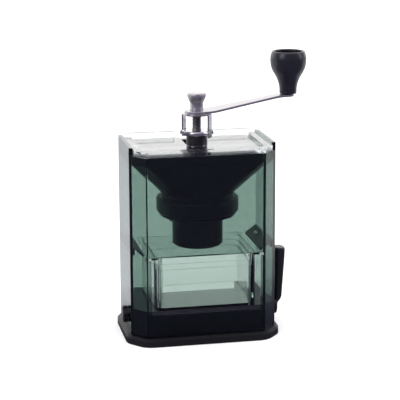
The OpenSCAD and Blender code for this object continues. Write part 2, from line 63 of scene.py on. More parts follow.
# The dark side of the studio, behind the camera, as reflections see it: a dim cool blue
FRONT_GLOW = (0.2, 0.2, 0.32, 1.0)
# The overlit backdrop, as reflections see it
BACK_GLOW = (1.6, 1.6, 1.6, 1.0)
# Painted shade: the dim cool tone given to the white floor in front of the mill where black gloss reflects
# it
FLOOR_PAINTED_SHADE_IN_GLOSS = (0.13, 0.13, 0.2, 1.0)
# Where, from front to back, the floor's painted shade in reflections gives way to its white
FLOOR_TURNS = (-0.02, 0.12)
# Brightness of the backdrop to the eye, and as soft light on matt surfaces
SEEN_WHITE = 1.5
SOFT_WHITE = 1.55
# Softboxes: name, place, width, height and watts; each is aimed at the middle of the mill
SOFTBOXES = (
    ("softbox_left", (-1.1, -0.7, 0.9), 0.7, 0.9, 5),
    ("softbox_right", (1.2, -0.3, 0.7), 0.4, 0.9, 2.5),
)
SOFTBOX_AIM = (0, 0, 0.12)
# How strongly a metre of each clear plastic absorbs light
SMOKE_DENSITY = 288.0
LID_DENSITY = 9.0
DRAWER_DENSITY = 14.0
# Radius of the spindle, and of the holes of the pieces that sit on it
SPINDLE_R = 4 * MM
ON_SPINDLE_R = 4.03 * MM
# Direction of the stopper's legs, in degrees
LEG_TURN = -38


# ---------------------------------------------------------------- measuring the frame


def low(node):
    """Lowest corner of a node of the frame, in metres."""
    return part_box(node)[0]


def high(node):
    """Highest corner of a node of the frame, in metres."""
    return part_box(node)[1]


def middle(node):
    """Centre of a node of the frame, in metres."""
    return (low(node) + high(node)) / 2


def bodies_of():
    """Name of the body that carries each node."""
    groups = frame["record"]["behaviour"]["bodies"]
    return {node: body for body, nodes in groups.items() for node in nodes}


def slots_of():
    """Name of the material slot of each node."""
    return {row["node"]: row["material_slot"] for row in frame["record"]["subparts"]}


BODY = bodies_of()
SLOT = slots_of()
KNOB_AXIS = middle("knob")
CRANK_REACH = math.hypot(KNOB_AXIS.x, KNOB_AXIS.y)
CRANK_ANGLE = math.atan2(KNOB_AXIS.y, KNOB_AXIS.x)


# ---------------------------------------------------------------- colour and nodes


def linear(hex_colour):
    """Linear red, green and blue of an sRGB hex colour."""
    parts = [int(hex_colour[i : i + 2], 16) / 255 for i in (1, 3, 5)]
    return [c / 12.92 if c <= 0.04045 else ((c + 0.055) / 1.055) ** 2.4 for c in parts]


def shade(colour, factor):
    """The same colour lighter or darker, as four channels."""
    return [min(1.0, c * factor) for c in list(colour)[:3]] + [1.0]


def add_node(tree, kind, values=None, links=None, **settings):
    """Adds a node: settings are its properties, values its own constants, links what feeds its sockets."""
    made = tree.nodes.new(kind)
    for name, value in settings.items():
        setattr(made, name, value)
    for socket, value in (values or {}).items():
        made.inputs[socket].default_value = value
    for socket, source in (links or {}).items():
        tree.links.new(source, made.inputs[socket])
    return made


def blank_material(name):
    """An empty node material and its tree."""
    material = bpy.data.materials.new(name)
    material.use_nodes = True
    material.node_tree.nodes.clear()
    return material, material.node_tree


def grain_noise(tree, size, stretch=(1, 1, 1), detail=3.0):
    """Noise whose spots are about size metres across, drawn out along an axis by stretch."""
    place = add_node(tree, "ShaderNodeTexCoord")
    scale = [1 / (size * s) for s in stretch]
    laid = add_node(tree, "ShaderNodeMapping", {"Scale": scale}, {"Vector": place.outputs["Object"]})
    return add_node(
        tree,
        "ShaderNodeTexNoise",
        {"Scale": 1.0, "Detail": detail, "Roughness": 0.55},
        {"Vector": laid.outputs["Vector"]},
    ).outputs["Fac"]


def opaque_finish(name, colour, roughness, grain, depth, metallic=0.0, swing=0.06, tone=0.08,
                  stretch=(1, 1, 1), smudge=0.018, **shader_values):
    """Moulded, cast or machined finish: fine grain in the relief, and slow swings of tone and gloss."""
    material, tree = blank_material(name)
    fine = grain_noise(tree, grain, stretch)
    slow = grain_noise(tree, smudge, detail=2.0)
    tint = add_node(
        tree, "ShaderNodeMix", {6: shade(colour, 1 - tone), 7: shade(colour, 1 + tone)}, {0: slow},
        data_type="RGBA")
    both = add_node(tree, "ShaderNodeMath", {1: 0.5}, {0: fine, 2: slow}, operation="MULTIPLY_ADD")
    gloss = add_node(
        tree, "ShaderNodeMapRange",
        {"From Min": 0.35, "From Max": 1.1,
         "To Min": max(0.02, roughness - swing), "To Max": roughness + swing},
        {"Value": both.outputs[0]},
    )
    relief = add_node(tree, "ShaderNodeBump", {"Strength": 1.0, "Distance": depth}, {"Height": fine})
    values = {"Metallic": metallic}
    values.update(shader_values)
    shader = add_node(
        tree, "ShaderNodeBsdfPrincipled", values,
        {"Base Color": tint.outputs[2], "Roughness": gloss.outputs[0], "Normal": relief.outputs[0]},
    )
    add_node(tree, "ShaderNodeOutputMaterial", links={"Surface": shader.outputs[0]})
    return material


def clear_finish(name, body_colour, density, lamp_tint, roughness=0.01, wave=30 * MM, wave_depth=0.02 * MM):
    """Clear acrylic: light is absorbed by the length it goes through, and lamps shine in through it."""
    material, tree = blank_material(name)
    slow = grain_noise(tree, wave, detail=1.0)
    relief = add_node(tree, "ShaderNodeBump", {"Strength": 0.5, "Distance": wave_depth}, {"Height": slow})
    shader = add_node(
        tree, "ShaderNodeBsdfPrincipled",
        {"Base Color": (1, 1, 1, 1), "Transmission Weight": 1.0, "IOR": 1.49, "Roughness": roughness},
        {"Normal": relief.outputs[0]},
    )
    lamps = add_node(tree, "ShaderNodeBsdfTransparent", {"Color": shade(lamp_tint, 1)})
    path = add_node(tree, "ShaderNodeLightPath")
    mixed = add_node(
        tree, "ShaderNodeMixShader",
        links={0: path.outputs["Is Shadow Ray"], 1: shader.outputs[0], 2: lamps.outputs[0]},
    )
    inside = add_node(
        tree, "ShaderNodeVolumeAbsorption", {"Color": shade(body_colour, 1), "Density": density}
    )
    add_node(
        tree, "ShaderNodeOutputMaterial",
        links={"Surface": mixed.outputs[0], "Volume": inside.outputs[0]},
    )
    return material


# ---------------------------------------------------------------- the mill's materials


def smoked_acrylic(c):
    """Injection moulded smoked acrylic: a cool grey-green that deepens to near black along its edges."""
    return clear_finish("smoked_acrylic_moulded", c.smoke, SMOKE_DENSITY, linear("#ADC5B8"))


def lid_acrylic(c):
    """Clear moulded acrylic with a slight haze: the lid's panel reads as one even pale grey."""
    return clear_finish(
        "clear_acrylic_lid_moulded", c.lid_clear, LID_DENSITY, linear("#F4F6F6"), roughness=0.09)


def drawer_acrylic(c):
    """Clear moulded acrylic with a faint green cast, and walls that draw fine lines where they step."""
    return clear_finish(
        "clear_acrylic_drawer_moulded", c.drawer_clear, DRAWER_DENSITY, linear("#EEF6EC"),
        wave_depth=0.03 * MM)


def base_abs(c):
    """Black ABS moulded against a finely etched tool: soft satin highlights with a faint sparkle."""
    return opaque_finish("black_abs_etched", c.base_black, 0.42, 0.35 * MM, 0.012 * MM, IOR=1.54)


def hopper_abs(c):
    """Black ABS moulded smooth: deeper black, slightly glossier than the base."""
    return opaque_finish("black_abs_smooth", c.hopper_black, 0.34, 0.6 * MM, 0.008 * MM, IOR=1.54)


def knob_abs(c):
    """Black ABS polished to a satin sheen that picks up cool light."""
    return opaque_finish("black_abs_polished_knob", c.knob_black, 0.3, 0.8 * MM, 0.006 * MM, IOR=1.54)


def lever_abs(c):
    """Black ABS with a soft moulded satin skin."""
    return opaque_finish("black_abs_lever", c.base_black, 0.36, 0.5 * MM, 0.01 * MM, IOR=1.54)


def brushed_steel(c):
    """Stainless strip brushed along its length: a warm white glint with fine streaks."""
    return opaque_finish("stainless_brushed", c.steel, 0.34, 0.25 * MM, 0.006 * MM, metallic=1.0,
                         swing=0.1, tone=0.06, stretch=(1, 1, 24))


def polished_steel(c):
    """Pressed stainless steel, barrel polished: bright with soft edges."""
    return opaque_finish("stainless_polished", c.steel, 0.14, 0.9 * MM, 0.006 * MM, metallic=1.0, swing=0.05)


def spindle_steel(c):
    """Threaded carbon steel, lightly oiled: dark grey with lighter crests."""
    return opaque_finish("carbon_steel_turned", c.spindle, 0.3, 0.3 * MM, 0.008 * MM, metallic=1.0,
                         stretch=(8, 8, 1))


def zinc_steel(c):
    """Zinc plated steel of the screws: small, bright and slightly grey."""
    return opaque_finish("zinc_plated_steel", c.zinc, 0.28, 0.2 * MM, 0.005 * MM, metallic=1.0)


def turned_brass(c):
    """Turned brass of the bearing sleeves: fine rings round the bore."""
    return opaque_finish("brass_turned", c.brass, 0.3, 0.2 * MM, 0.006 * MM, metallic=1.0, stretch=(8, 8, 1))


def sintered_ceramic(c):
    """White alumina, sintered: matt with a faint grain."""
    return opaque_finish("alumina_sintered", c.ceramic, 0.5, 0.3 * MM, 0.015 * MM, tone=0.04, IOR=1.76)


def natural_acetal(c):
    """Natural acetal of the cam and the stem: waxy off-white."""
    return opaque_finish("acetal_moulded", c.acetal, 0.4, 0.8 * MM, 0.008 * MM, tone=0.03, IOR=1.48)


def moulded_rubber(c):
    """Black nitrile rubber of the suction pad: matt, with a dusty bloom."""
    return opaque_finish("nitrile_rubber_moulded", c.rubber, 0.7, 0.5 * MM, 0.02 * MM, tone=0.2, IOR=1.52)


MATERIAL_MAKERS = {
    "smoked_clear": smoked_acrylic,
    "clear_lid": lid_acrylic,
    "clear_drawer": drawer_acrylic,
    "base_black": base_abs,
    "hopper_black": hopper_abs,
    "knob_black": knob_abs,
    "lever_black": lever_abs,
    "cam_nylon": natural_acetal,
    "ceramic": sintered_ceramic,
    "brushed_steel": brushed_steel,
    "polished_steel": polished_steel,
    "spindle_steel": spindle_steel,
    "screw_steel": zinc_steel,
    "bush_brass": turned_brass,
    "pad_rubber": moulded_rubber,
}
MATERIALS = {}


def material_for(slot, context):
    """The material of a slot, made the first time it is asked for."""
    if slot not in MATERIALS:
        MATERIALS[slot] = MATERIAL_MAKERS[slot](context.scene.mill_colours)
    return MATERIALS[slot]


# ---------------------------------------------------------------- mesh building


def ring(radius, height, centre=(0.0, 0.0), count=96, wave=None):
    """Points of a level circle; wave, if given, turns an angle and a radius into the radius there."""
    points = []
    for k in range(count):
        angle = WHOLE_TURN * k / count
        r = wave(angle, radius) if wave else radius
        points.append(Vector((centre[0] + r * math.cos(angle), centre[1] + r * math.sin(angle), height)))
    return points


def skin_rings(bm, rings, join_ends=False, cap_start=False, cap_end=False):
    """Quads between successive rings of equal count; the last may join the first."""
    rows = [[bm.verts.new(p) for p in points] for points in rings]
    count = len(rows[0])
    pairs = list(zip(rows, rows[1:]))
    if join_ends:
        pairs.append((rows[-1], rows[0]))
    for a, b in pairs:
        for k in range(count):
            n = (k + 1) % count
            bm.faces.new((a[k], a[n], b[n], b[k]))
    if cap_start:
        bm.faces.new(list(reversed(rows[0])))
    if cap_end:
        bm.faces.new(rows[-1])
    return rows


def blend_points(p, q, r, s, steps):
    """Points of a cubic curve from p to s, aimed at q and r."""
    made = []
    for k in range(steps + 1):
        t = k / steps
        u = 1 - t
        made.append(tuple(u**3 * a + 3 * u * u * t * b + 3 * u * t * t * c + t**3 * d
                          for a, b, c, d in zip(p, q, r, s)))
    return made


def rounded_profile(points, radius, steps=3):
    """Closed [radius, height] outline with each corner cut to an arc-like curve of about this radius."""
    made = []
    count = len(points)
    for k, point in enumerate(points):
        before = Vector(points[k - 1])
        after = Vector(points[(k + 1) % count])
        here = Vector(point)
        a = before - here
        b = after - here
        reach = min(radius, a.length * 0.45, b.length * 0.45)
        if reach < 1e-6 or here.x < 1e-7:
            made.append(tuple(here))
            continue
        start = here + a.normalized() * reach
        end = here + b.normalized() * reach
        for step in range(steps + 1):
            t = step / steps
            made.append(tuple((1 - t) ** 2 * start + 2 * t * (1 - t) * here + t * t * end))
    return made


def finish_mesh(bm, name, node, context, smooth_angle=40.0):
    """Makes the piece that stands for a node: it takes the node's slot and rides on the node's body."""
    bmesh.ops.remove_doubles(bm, verts=bm.verts, dist=0.002 * MM)
    bmesh.ops.recalc_face_normals(bm, faces=bm.faces)
    for face in bm.faces:
        face.smooth = True
    for edge in bm.edges:
        if len(edge.link_faces) == 2 and edge.calc_face_angle(0.0) > math.radians(smooth_angle):
            edge.smooth = False
    mesh = bpy.data.meshes.new(name)
    bm.to_mesh(mesh)
    bm.free()
    piece = bpy.data.objects.new(name, mesh)
    context.scene.collection.objects.link(piece)
    piece.data.materials.append(material_for(SLOT[node], context))
    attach(piece, BODY[node])
    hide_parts(node)
    return piece


def turned_rings(profile, centre=(0.0, 0.0), count=96, wave=None):
    """Rings of a turned piece from its [radius, height] points."""
    return [ring(max(r, 1e-6), z, centre, count, wave) for r, z in profile]


def dress(node, context, round_edge=0.0, limit=25.0):
    """Gives a node of the frame its material and, by modifiers alone, rounded edges."""
    piece = frame["nodes"][node]
    piece.data.materials.clear()
    piece.data.materials.append(material_for(SLOT[node], context))
    if not round_edge:
        return piece
    weld = piece.modifiers.new("Weld", "WELD")
    weld.merge_threshold = 0.002 * MM
    flatten = piece.modifiers.new("Flatten", "DECIMATE")
    flatten.decimate_type = "DISSOLVE"
    flatten.angle_limit = math.radians(0.4)
    edge = piece.modifiers.new("Round edges", "BEVEL")
    edge.width = round_edge
    edge.segments = 3
    edge.limit_method = "ANGLE"
    edge.angle_limit = math.radians(limit)
    edge.harden_normals = False
    even = piece.modifiers.new("Even shading", "WEIGHTED_NORMAL")
    even.keep_sharp = True
    even.weight = 100
    return piece


# ---------------------------------------------------------------- settings


class MillSizes(bpy.types.PropertyGroup):
    """Sizes that only the finished pieces have."""

    edge_round: FloatProperty(
        name="Moulded edge", description="Radius of the edges of the moulded pieces",
        default=0.5 * MM, min=0.1 * MM, max=1.5 * MM, unit="LENGTH", precision=5)
    metal_round: FloatProperty(
        name="Pressed edge", description="Radius of the edges of the pressed and turned steel",
        default=0.3 * MM, min=0.05 * MM, max=0.8 * MM, unit="LENGTH", precision=5)
    clear_round: FloatProperty(
        name="Clear edge", description="Radius of the edges of the clear mouldings",
        default=0.25 * MM, min=0.05 * MM, max=0.8 * MM, unit="LENGTH", precision=5)
    thread_pitch: FloatProperty(
        name="Thread pitch", description="Pitch of the spindle's thread",
        default=1.25 * MM, min=0.8 * MM, max=2 * MM, unit="LENGTH", precision=5)
    knurl_count: IntProperty(
        name="Cap nut flutes", description="Fine flutes round the cap nut's band",
        default=44, min=20, max=80)
    knob_wall: FloatProperty(
        name="Knob rim", description="Thickness of the knob's rim",
        default=1.7 * MM, min=1 * MM, max=3 * MM, unit="LENGTH", precision=5)


def colour_property(name, description, hex_colour):
    """A colour setting with its default given as sRGB hex."""
    return FloatVectorProperty(
        name=name, description=description, default=linear(hex_colour),
        size=3, min=0.0, max=1.0, subtype="COLOR")


class MillColours(bpy.types.PropertyGroup):
    """Colours of the mill's materials."""

    smoke: colour_property("Smoked acrylic", "What the clear body lets through, over a depth", "#549681")
    lid_clear: colour_property("Lid acrylic", "What the lid lets through", "#C8D2D2")
    drawer_clear: colour_property("Drawer acrylic", "What the drawer lets through", "#B4DCB0")
    base_black: colour_property("Base black", "Black of the foot, plinth and lever", "#0A090D")
    hopper_black: colour_property("Hopper black", "Black of the hopper and burr case", "#09090E")
    knob_black: colour_property("Knob black", "Black of the knob", "#0F0E1A")
    steel: colour_property("Stainless steel", "Reflection of the arm and nuts", "#BEB9BB")
    spindle: colour_property("Spindle steel", "Reflection of the threaded spindle", "#8C888C")
    zinc: colour_property("Zinc plate", "Reflection of the screws", "#CFCFD2")
    brass: colour_property("Brass", "Reflection of the bearing sleeves", "#D8B46A")
    ceramic: colour_property("Ceramic", "White of the burrs", "#EFEBE0")
    acetal: colour_property("Acetal", "Off-white of the cam and stem", "#E6E3D8")
    rubber: colour_property("Rubber", "Black of the suction pad", "#1E1E1E")
    floor: colour_property("Floor", "White of the studio floor", "#F6F6F6")


class StudioSettings(bpy.types.PropertyGroup):
    """Camera and light of the studio."""

    distance: FloatProperty(
        name="Camera distance", description="From the camera to the middle of the mill, along the floor",
        default=1.2216, min=0.3, max=5, unit="LENGTH", precision=4)
    bearing: FloatProperty(
        name="Camera bearing", description="How far the camera stands round to the left of the front",
        default=math.radians(11.2366), subtype="ANGLE", precision=4)
    heading: FloatProperty(
        name="Camera heading", description="How far the camera is turned to the right of straight back",
        default=math.radians(11.4130), subtype="ANGLE", precision=4)
    height: FloatProperty(
        name="Camera height", description="Height of the camera above the table",
        default=0.40792, min=0, max=3, unit="LENGTH", precision=4)
    pitch: FloatProperty(
        name="Camera pitch", description="How far the camera looks down",
        default=math.radians(12.5344), subtype="ANGLE", precision=4)
    roll: FloatProperty(
        name="Camera roll", description="How far the camera leans",
        default=math.radians(-0.2197), subtype="ANGLE", precision=4)
    lens: FloatProperty(
        name="Focal length", description="Focal length on a 36 mm sensor, in millimetres",
        default=130.854, min=20, max=300, precision=3)
    rise: FloatProperty(
        name="Vertical shift", description="Vertical shift of the lens, as a share of the frame",
        default=-0.0575, min=-0.2, max=0.2, precision=4)
    across: FloatProperty(
        name="Sideways shift", description="Sideways shift of the lens, as a share of the frame",
        default=-0.00325, min=-0.2, max=0.2, precision=4)


# ---------------------------------------------------------------- turned and pressed pieces


class MILL_OT_knob(bpy.types.Operator):
    """Turn the goblet-shaped knob with its open recess"""

    bl_idname = "mill.knob"
    bl_label = "Knob"

    def execute(self, context):
        wall = context.scene.mill_sizes.knob_wall
        base = low("knob").z
        top = high("knob").z
        belly = (high("knob").x - low("knob").x) / 2
        rise = top - base
        # Outline as shares of the belly's radius and the knob's height, from the base up
        shares = [(0.40, 0.0), (0.455, 0.006), (0.48, 0.03), (0.481, 0.10), (0.487, 0.155), (0.506, 0.2),
                  (0.531, 0.244), (0.5625, 0.29), (0.606, 0.335), (0.65, 0.38), (0.706, 0.425), (0.77, 0.47),
                  (0.835, 0.515), (0.889, 0.56), (0.93, 0.607), (0.962, 0.655), (0.981, 0.70), (0.995, 0.76),
                  (1.0, 0.805), (0.995, 0.86), (0.975, 0.905), (0.945, 0.95), (0.915, 0.985)]
        outer = [(belly * r, base + rise * z) for r, z in shares]
        rim = 0.90 * belly
        bottom = high("knob_pin").z - 2.6 * MM
        lip = [(rim - 0.1 * MM, top), (rim - wall + 0.35 * MM, top), (rim - wall - 0.1 * MM, top - 0.5 * MM)]
        dish = blend_points((rim - wall - 0.1 * MM, top - 1.4 * MM), (rim - wall + 0.6 * MM, top - 8 * MM),
                            (rim - wall - 1.5 * MM, bottom + 0.6 * MM), (6.2 * MM, bottom), 9)
        bore = [(5.2 * MM, bottom), (2.56 * MM, bottom), (2.56 * MM, base)]
        profile = outer + lip + dish + bore
        bm = bmesh.new()
        skin_rings(bm, turned_rings(profile, (KNOB_AXIS.x, KNOB_AXIS.y)), join_ends=True)
        finish_mesh(bm, "knob_goblet", "knob", context, smooth_angle=60)
        return {"FINISHED"}


class MILL_OT_cap_nut(bpy.types.Operator):
    """Turn the cap nut, with fine flutes round its band"""

    bl_idname = "mill.cap_nut"
    bl_label = "Cap nut"

    def execute(self, context):
        flutes = context.scene.mill_sizes.knurl_count
        base = low("cap_nut").z
        top = high("cap_nut").z
        wide = high("cap_nut").x
        neck = 0.7 * wide
        band = top - 3.6 * MM

        def fluted(angle, radius):
            return radius - 0.16 * MM * (0.5 + 0.5 * math.cos(flutes * angle))

        plain = ([(ON_SPINDLE_R, base), (neck + 0.25 * MM, base), (neck + 0.3 * MM, base + 0.9 * MM),
                  (neck, base + 1.7 * MM), (neck, base + 5.6 * MM)]
                 + blend_points((neck, base + 5.8 * MM), (neck + 0.1 * MM, base + 7.6 * MM),
                                (wide - 0.7 * MM, base + 9.6 * MM), (wide - 0.2 * MM, band), 8))
        crown = [(wide - 0.35 * MM, top - 0.25 * MM), (wide - 0.8 * MM, top), (wide * 0.45, top + 0.0 * MM),
                 (0.0, top)]
        bm = bmesh.new()
        count = flutes * 6
        rings = turned_rings(plain, count=count)
        rings += turned_rings([(wide, band + 0.4 * MM), (wide, top - 0.6 * MM)], count=count, wave=fluted)
        rings += turned_rings(crown, count=count)
        skin_rings(bm, rings)
        hole_top = base + 10.7 * MM
        inner = turned_rings([(ON_SPINDLE_R, base), (ON_SPINDLE_R, hole_top), (0.0, hole_top)], count=count)
        skin_rings(bm, inner)
        finish_mesh(bm, "cap_nut_fluted", "cap_nut", context, smooth_angle=50)
        return {"FINISHED"}


class MILL_OT_arm(bpy.types.Operator):
    """Press the crank arm: one strip, broad at the spindle, cranked up to the knob"""

    bl_idname = "mill.arm"
    bl_label = "Crank arm"

    def execute(self, context):
        thick = 2 * MM
        hub = 10.2 * MM
        tip = 5.3 * MM
        first_bend = 13 * MM
        last_bend = 76 * MM
        bend_soft = 5 * MM
        lift = high("crank_arm").z - low("crank_arm").z - thick
        floor = low("crank_arm").z
        edge = context.scene.mill_sizes.metal_round
        reach = CRANK_REACH
        slope = lift / (last_bend - first_bend)

        def height(u):
            """Height of the strip's underside at u, with each bend eased over bend_soft."""
            total = 0.0
            for at, turn in ((first_bend, slope), (last_bend, -slope)):
                d = (u - at) / bend_soft
                total += turn * bend_soft * (0.0 if d < -1 else d if d > 1 else (d + 1) ** 2 / 4)
            return floor + total

        def half_width(u):
            if u < 6 * MM:
                return math.sqrt(max(0.0, hub**2 - u * u))
            if u > reach:
                return math.sqrt(max(0.0, tip**2 - (u - reach) ** 2))
            return tip + 4.9 * MM * (1 - u / reach) ** 1.6

        stations = [-hub * math.cos(math.pi / 2 * k / 14) for k in range(15)]
        stations += [6 * MM * k / 4 for k in range(1, 5)]
        stations += [6 * MM + (reach - 6 * MM) * k / 60 for k in range(1, 61)]
        stations += [reach + tip * math.sin(math.pi / 2 * k / 10) for k in range(1, 11)]
        rings = []
        for u in stations:
            w = max(half_width(u), 0.02 * MM)
            r = min(edge, w * 0.9)
            z = height(u)
            outline = []
            for side, (a, b) in ((1, (-90, 0)), (1, (0, 90)), (-1, (90, 180)), (-1, (180, 270))):
                top = a in (0, 90)
                cx = side * (w - r)
                cz = z + (thick - r if top else r)
                for k in range(4):
                    angle = math.radians(a + (b - a) * k / 3)
                    outline.append((cx + r * math.cos(angle), cz + r * math.sin(angle)))
            rings.append([Vector((u, v, h)) for v, h in outline])
        bm = bmesh.new()
        skin_rings(bm, rings, cap_start=True, cap_end=True)
        bmesh.ops.rotate(bm, verts=bm.verts, matrix=Matrix.Rotation(CRANK_ANGLE, 3, "Z"))
        finish_mesh(bm, "crank_arm_pressed", "crank_arm", context)
        return {"FINISHED"}


class MILL_OT_spindle(bpy.types.Operator):
    """Turn the spindle and cut its thread as a helix"""

    bl_idname = "mill.spindle"
    bl_label = "Spindle"

    def execute(self, context):
        pitch = context.scene.mill_sizes.thread_pitch
        outer = SPINDLE_R
        depth = 0.55 * MM
        bottom = low("spindle").z
        top = high("spindle").z
        start = high("grind_nut").z + 0.2 * MM
        end = low("stopper").z + 19.2 * MM
        per_turn = 10
        count = 60
        rings = turned_rings([(1e-6, bottom), (outer - 0.6 * MM, bottom), (outer, bottom + 0.6 * MM),
                              (outer, bottom + 1.4 * MM), (outer - 0.6 * MM, bottom + 1.45 * MM),
                              (outer - 0.6 * MM, bottom + 2.35 * MM), (outer, bottom + 2.4 * MM),
                              (outer, bottom + 14 * MM), (1.5 * outer, bottom + 14 * MM),
                              (1.5 * outer, bottom + 15 * MM), (outer, bottom + 15 * MM)], count=count)
        steps = int((end - start) / pitch * per_turn)
        for step in range(steps + 1):
            z = start + (end - start) * step / steps
            fade = min(1.0, step / per_turn, (steps - step) / per_turn)

            def thread(angle, radius, z=z, fade=fade):
                phase = (z / pitch - angle / WHOLE_TURN) % 1.0
                cut = min(1.0, max(0.0, 1.35 * (1 - abs(2 * phase - 1)) - 0.15))
                return radius - depth * fade * cut

            rings.append(ring(outer, z, count=count, wave=thread))
        rings += turned_rings([(outer, top - 0.6 * MM), (outer - 0.6 * MM, top), (1e-6, top)], count=count)
        bm = bmesh.new()
        skin_rings(bm, rings)
        finish_mesh(bm, "spindle_threaded", "spindle", context, smooth_angle=50)
        return {"FINISHED"}


class MILL_OT_grind_nut(bpy.types.Operator):
    """Press the star-shaped grind nut with softened lobes"""

    bl_idname = "mill.grind_nut"
    bl_label = "Grind nut"

    def execute(self, context):
        lobes = 8
        turn = math.radians(LEG_TURN + 180 / lobes)
        base = low("grind_nut").z
        top = high("grind_nut").z
        tip = 14.6 * MM
        notch = 11.2 * MM
        soft = context.scene.mill_sizes.metal_round

        def star(angle, radius):
            """Radius of the star, a share of the tip's, with narrow lobes that stand out of a round hub."""
            phase = abs(((angle - turn) * lobes / WHOLE_TURN + 0.5) % 1.0 - 0.5) * 360 / lobes
            out = max(0.0, 1 - phase / 8.0)
            return (notch + (tip - notch) * out) * radius

        bore = ON_SPINDLE_R
        body = [(1 - 0.6 * soft / tip, base), (1, base + 0.6 * soft), (1, top - 1.5 * MM),
                (0.955, top - 0.5 * MM), (0.9, top)]
        count = 8 * 45
        rings = [ring(r, z, count=count, wave=star) for r, z in body]
        hole = [(0.62 * notch, top), (bore + 0.4 * MM, top), (bore, top - 0.4 * MM), (bore, base)]
        rings += turned_rings(hole, count=count)
        bm = bmesh.new()
        skin_rings(bm, rings, join_ends=True)
        finish_mesh(bm, "grind_nut_star", "grind_nut", context, smooth_angle=30)
        return {"FINISHED"}


class MILL_OT_stopper(bpy.types.Operator):
    """Press the stopper: a round plate with two legs bent down into the grind nut's notches"""

    bl_idname = "mill.stopper"
    bl_label = "Stopper"

    def execute(self, context):
        top = high("stopper").z
        foot = low("stopper").z
        plate_r = 12.6 * MM
        thick = 1.45 * MM
        bore = ON_SPINDLE_R
        half_leg = 3 * MM
        leg_out = 13.1 * MM
        bend = 1.9 * MM
        soft = context.scene.mill_sizes.metal_round
        bm = bmesh.new()
        plate = rounded_profile(
            [(bore, top - thick), (plate_r, top - thick), (plate_r, top), (bore, top)], soft)
        skin_rings(bm, turned_rings(plate), join_ends=True)
        # Each leg is one strip: out over the plate's edge, round the bend and down
        path = [(plate_r - 5 * MM, top, 0.0), (leg_out - bend, top, 0.0)]
        for lean in (18, 36, 54, 72, 90):
            out, down = bend * math.sin(math.radians(lean)), bend * math.cos(math.radians(lean))
            path.append((leg_out - bend + out, top - bend + down, lean))
        path += [(leg_out, foot + 3 * MM, 90), (leg_out, foot + 0.5 * MM, 90), (leg_out, foot, 90)]
        for spin in (0, 180):
            facing = Matrix.Rotation(math.radians(LEG_TURN + spin), 3, "Z")
            rings = []
            for k, (u, z, lean) in enumerate(path):
                inward = Vector((-math.sin(math.radians(lean)), 0, -math.cos(math.radians(lean))))
                half = half_leg - (0.5 * MM if k == len(path) - 1 else 0.0)
                corners = [(half, 0.0), (half, thick), (-half, thick), (-half, 0.0)]
                flat = []
                for i, (v, d) in enumerate(corners):
                    pv, pd = corners[i - 1]
                    nv, nd = corners[(i + 1) % 4]
                    for qv, qd in ((pv, pd), (nv, nd)):
                        step = Vector((qv - v, qd - d))
                        step = step.normalized() * soft * 0.7
                        flat.append((v + step.x, d + step.y))
                rings.append([facing @ (Vector((u, v, z)) + inward * d) for v, d in flat])
            skin_rings(bm, rings, cap_start=True, cap_end=True)
        finish_mesh(bm, "stopper_pressed", "stopper", context, smooth_angle=35)
        return {"FINISHED"}


class MILL_OT_lever(bpy.types.Operator):
    """Mould the lever: a round hub that grows up into a soft-edged handle"""

    bl_idname = "mill.lever"
    bl_label = "Lever"

    def execute(self, context):
        inner = low("lever").x
        outer = high("lever").x
        top = high("lever").z
        axle = Vector((0, middle("cam_axle").y, middle("cam_axle").z))
        bm = bmesh.new()
        # Hub, turned about the axle
        hub = rounded_profile(
            [(3.6 * MM, 0), (8 * MM, 0), (8 * MM, 5.2 * MM), (3.6 * MM, 5.2 * MM)], 0.8 * MM)
        along_x = Matrix.Rotation(math.radians(90), 3, "Y")
        rings = [[along_x @ p + axle + Vector((inner, 0, 0)) for p in points]
                 for points in turned_rings(hub, count=64)]
        skin_rings(bm, rings, join_ends=True)
        # Handle, as level sections: height above the axle, inner and outer face, half depth
        sections = [(-6.6, 1.9, 4.5, 2.2), (-6.3, 1.2, 5.4, 4.0), (-4.6, 1.1, 6.1, 5.5), (-1, 1.1, 6.2, 6.5),
                    (3, 1.6, 6.5, 6.5), (6, 2.7, 9.2, 6.4), (8.5, 3.1, 10.1, 6.3), (14, 3.2, 10.5, 6.35),
                    (28, 3.2, 11.5, 6.6), (42, 3.2, 12.5, 6.85), (50.4, 3.2, 12.9, 7.0),
                    (51.8, 3.5, 12.6, 6.7), (52.35, 4.2, 11.9, 6.0), (52.5, 5.4, 10.7, 4.8)]
        stretch = (outer - inner) / (12.9 * MM)
        rise = (top - axle.z) / (52.5 * MM)
        rings = []
        for h, face_in, face_out, half in sections:
            cx = inner + (face_in + face_out) / 2 * MM * stretch
            rx = (face_out - face_in) / 2 * MM * stretch
            points = []
            for k in range(48):
                angle = WHOLE_TURN * k / 48
                c, s = math.cos(angle), math.sin(angle)
                power = 2 / 2.9
                points.append(Vector((cx + rx * math.copysign(abs(c) ** power, c),
                                      axle.y + half * MM * math.copysign(abs(s) ** power, s),
                                      axle.z + h * MM * rise)))
            rings.append(points)
        skin_rings(bm, rings, cap_start=True, cap_end=True)
        finish_mesh(bm, "lever_handle", "lever", context, smooth_angle=50)
        return {"FINISHED"}


class MILL_OT_screws(bpy.types.Operator):
    """Give every screw its zinc plating and softened edges"""

    bl_idname = "mill.screws"
    bl_label = "Screws"

    def execute(self, context):
        for node in ("deflector_screws", "bridge_screws", "case_screws", "foot_screws"):
            dress(node, context, 0.12 * MM, limit=40)
        return {"FINISHED"}


# ---------------------------------------------------------------- pieces kept from the frame

MOULDED = ("foot", "plinth", "hopper", "bearing_bridge", "burr_case", "chute", "deflector_left",
           "deflector_right", "axle_cap")
CLEAR = ("body_shell", "lid", "drawer")
# Clear pieces whose steps are finer than a bevel can follow, so that their edges stay as they are
CRISP = ("lid", "drawer")
PLAIN = ("upper_bush", "outer_burr", "lower_bush", "spindle_clip", "inner_burr", "burr_spring",
         "spring_washer", "knob_pin", "lever_pin", "cam_axle", "cam", "suction_stem", "suction_pad")


